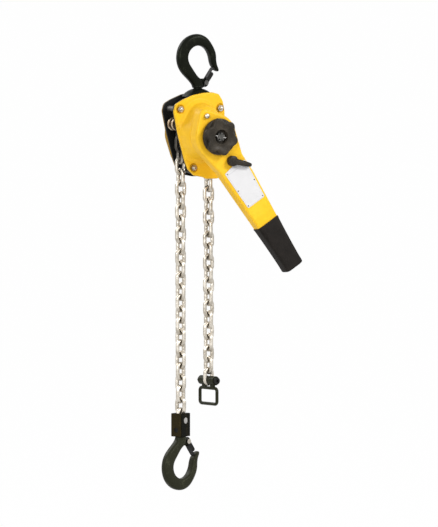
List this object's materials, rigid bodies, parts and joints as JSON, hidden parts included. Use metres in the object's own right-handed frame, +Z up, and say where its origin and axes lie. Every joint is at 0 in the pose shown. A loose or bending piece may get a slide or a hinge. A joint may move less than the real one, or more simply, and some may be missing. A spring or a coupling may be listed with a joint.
{
  "type": "ratchet lever chain hoist",
  "caption": "Hand ratchet lever hoist: latched top hook, geared load sheave and brake, selector and hand wheel, and a link chain to a swivel load hook.",
  "frame": {"origin": "centre of the top hook's bowl, midway through the hook's thickness", "axes": "+Z up along the top hook's shank, +X towards the side that the hand lever points to, -Y out of the face with the lever and hand wheel"},
  "size_m": [0.2377, 0.1699, 0.8397],
  "materials": {
    "forged_black": "semi-gloss black with an olive cast over forged steel",
    "black_paint": "satin black paint",
    "yellow_paint": "glossy golden yellow powder coat",
    "zinc_steel": "bright zinc plate",
    "chain_steel": "bright plated alloy steel",
    "bare_steel": "machined steel, oiled",
    "friction": "moulded friction lining",
    "black_plastic": "moulded black plastic",
    "grip_rubber": "black rubber",
    "label_white": "plain white plate, no markings",
    "spring_steel": "dark spring steel"
  },
  "bodies": {
    "hook": {"top_hook": "forged_black", "top_latch_pin": "zinc_steel", "top_latch_spring": "spring_steel", "hook_shank_nut": "zinc_steel"},
    "hook_latch": {"top_latch": "black_paint"},
    "yoke": {"top_yoke": "forged_black"},
    "frame": {"yoke_pin": "bare_steel", "front_side_plate": "black_paint", "rear_side_plate": "black_paint", "stay_bolts": "zinc_steel", "stay_nuts": "zinc_steel", "stay_spacers": "zinc_steel", "chain_guide": "black_paint", "front_cover": "yellow_paint", "gear_case": "yellow_paint", "sheave_bushes": "bare_steel", "brake_pawl_pins": "bare_steel", "brake_pawl_springs": "spring_steel", "ratchet_bush": "bare_steel", "ratchet_disc": "bare_steel", "chain_round_sheave": "chain_steel"},
    "lever": {"lever_front_shell": "yellow_paint", "lever_back_shell": "yellow_paint", "lever_rivets": "zinc_steel", "lever_grip": "grip_rubber", "label_plate": "label_white", "label_rivets": "zinc_steel"},
    "selector": {"selector_lever": "black_plastic"},
    "change_pawl": {"change_pawl": "bare_steel"},
    "sheave": {"load_sheave": "bare_steel", "load_gear": "bare_steel"},
    "drive": {"drive_shaft": "bare_steel", "friction_hub": "bare_steel", "friction_discs": "friction", "change_gear": "bare_steel", "hand_wheel": "black_plastic", "wheel_nut": "zinc_steel", "split_pin": "zinc_steel"},
    "disk_gear_upper": {"disk_gear_upper": "bare_steel"},
    "disk_gear_lower": {"disk_gear_lower": "bare_steel"},
    "brake_pawl_left": {"brake_pawl_left": "bare_steel"},
    "brake_pawl_right": {"brake_pawl_right": "bare_steel"},
    "guide_roller_left": {"guide_roller_left": "zinc_steel"},
    "guide_roller_right": {"guide_roller_right": "zinc_steel"},
    "load_upper": {"load_chain_upper": "chain_steel"},
    "load_lower": {"load_chain": "chain_steel"},
    "slack_upper": {"slack_chain_upper": "chain_steel"},
    "slack_lower": {"slack_chain": "chain_steel", "stop_bolt": "black_paint", "stop_nut": "black_paint"},
    "stop": {"stop_ring": "forged_black"},
    "block": {"bottom_block_left": "forged_black", "bottom_block_right": "forged_black", "chain_pin": "bare_steel", "block_bolt": "black_paint", "block_nut": "black_paint"},
    "load_hook": {"bottom_hook": "forged_black", "bottom_latch_pin": "zinc_steel", "bottom_latch_spring": "spring_steel"},
    "load_hook_latch": {"bottom_latch": "black_paint"}
  },
  "joints": [
    {"name": "hook_swivel", "type": "hinge", "parent": "hook", "child": "yoke", "pos_m": [0, 0, -0.0555], "axis": [0, 0, 1], "continuous": true},
    {"name": "hoist_swing", "type": "hinge", "parent": "yoke", "child": "frame", "pos_m": [0, 0, -0.0925], "axis": [0, 1, 0], "range_deg": [-12, 12]},
    {"name": "top_latch_swing", "type": "hinge", "parent": "hook", "child": "hook_latch", "pos_m": [0.0148, 0, -0.046], "axis": [0, -1, 0], "range_deg": [0, 40], "stiffness_Nm_per_rad": 0.05, "springref_deg": -22.92},
    {"name": "lever_swing", "type": "hinge", "parent": "frame", "child": "lever", "pos_m": [-0.0095, 0, -0.1415], "axis": [0, 1, 0], "continuous": true},
    {"name": "selector_turn", "type": "hinge", "parent": "lever", "child": "selector", "pos_m": [0.01859, 0, -0.18645], "axis": [0, 1, 0], "range_deg": [0, 91]},
    {"name": "change_pawl_turn", "type": "hinge", "parent": "lever", "child": "change_pawl", "pos_m": [0.01859, 0, -0.18645], "axis": [0, 1, 0], "range_deg": [0, 28]},
    {"name": "sheave_turn", "type": "hinge", "parent": "frame", "child": "sheave", "pos_m": [-0.0095, 0, -0.1415], "axis": [0, -1, 0], "range_deg": [0, 90], "deforming": ["chain_round_sheave"]},
    {"name": "drive_turn", "type": "hinge", "parent": "frame", "child": "drive", "pos_m": [-0.0095, 0, -0.1415], "axis": [0, -1, 0], "range_deg": [0, 541]},
    {"name": "disk_gear_upper_turn", "type": "hinge", "parent": "frame", "child": "disk_gear_upper", "pos_m": [-0.01367, 0, -0.11179], "axis": [0, -1, 0], "range_deg": [-181, 0]},
    {"name": "disk_gear_lower_turn", "type": "hinge", "parent": "frame", "child": "disk_gear_lower", "pos_m": [-0.00532, 0, -0.17121], "axis": [0, -1, 0], "range_deg": [-181, 0]},
    {"name": "load_run", "type": "slide", "parent": "frame", "child": "load_upper", "axis": [0, 0, -1], "range_m": [0, 0.0422]},
    {"name": "load_swing", "type": "hinge", "parent": "load_upper", "child": "load_lower", "pos_m": [-0.036, 0, -0.22649], "axis": [1, 0, 0], "range_deg": [-4, 4]},
    {"name": "block_swing", "type": "hinge", "parent": "load_lower", "child": "block", "pos_m": [-0.036, 0, -0.66694], "axis": [-0.4226, 0.9063, 0], "range_deg": [-1.5, 1.5]},
    {"name": "load_hook_swivel", "type": "hinge", "parent": "block", "child": "load_hook", "pos_m": [-0.036, 0, -0.6965], "axis": [0, 0, 1], "continuous": true},
    {"name": "bottom_latch_swing", "type": "hinge", "parent": "load_hook", "child": "load_hook_latch", "pos_m": [-0.02158, 0.00333, -0.7063], "axis": [-0.225, 0.9744, 0], "range_deg": [0, 40], "stiffness_Nm_per_rad": 0.05, "springref_deg": -22.92},
    {"name": "slack_run", "type": "slide", "parent": "frame", "child": "slack_upper", "axis": [0, 0, 1], "range_m": [0, 0.0422]},
    {"name": "slack_swing", "type": "hinge", "parent": "slack_upper", "child": "slack_lower", "pos_m": [0.0226, 0, -0.23785], "axis": [1, 0, 0], "range_deg": [-4, 4]},
    {"name": "stop_ring_swing", "type": "hinge", "parent": "slack_lower", "child": "stop", "pos_m": [0.0226, 0, -0.59525], "axis": [-0.1908, 0.9816, 0], "range_deg": [-45, 45]},
    {"name": "brake_pawl_left_lift", "type": "hinge", "parent": "frame", "child": "brake_pawl_left", "pos_m": [-0.0305, 0, -0.10513], "axis": [0, -1, 0], "range_deg": [0, 14], "stiffness_Nm_per_rad": 0.02, "springref_deg": -22.92},
    {"name": "brake_pawl_right_lift", "type": "hinge", "parent": "frame", "child": "brake_pawl_right", "pos_m": [0.0115, 0, -0.10513], "axis": [0, -1, 0], "range_deg": [0, 14], "stiffness_Nm_per_rad": 0.02, "springref_deg": -22.92},
    {"name": "guide_roller_left_spin", "type": "hinge", "parent": "frame", "child": "guide_roller_left", "pos_m": [-0.0468, 0, -0.1212], "axis": [0, 1, 0], "continuous": true},
    {"name": "guide_roller_right_spin", "type": "hinge", "parent": "frame", "child": "guide_roller_right", "pos_m": [0.0278, 0, -0.1212], "axis": [0, 1, 0], "continuous": true}
  ],
  "couplings": [
    {"joint": "drive_turn", "follows": "sheave_turn", "ratio": 6},
    {"joint": "disk_gear_upper_turn", "follows": "sheave_turn", "ratio": -2},
    {"joint": "disk_gear_lower_turn", "follows": "sheave_turn", "ratio": -2},
    {"joint": "load_run", "follows": "sheave_turn", "m_per_rad": 0.02674},
    {"joint": "slack_run", "follows": "sheave_turn", "m_per_rad": 0.02674},
    {"joint": "change_pawl_turn", "follows": "selector_turn", "ratio": 0.3}
  ]
}
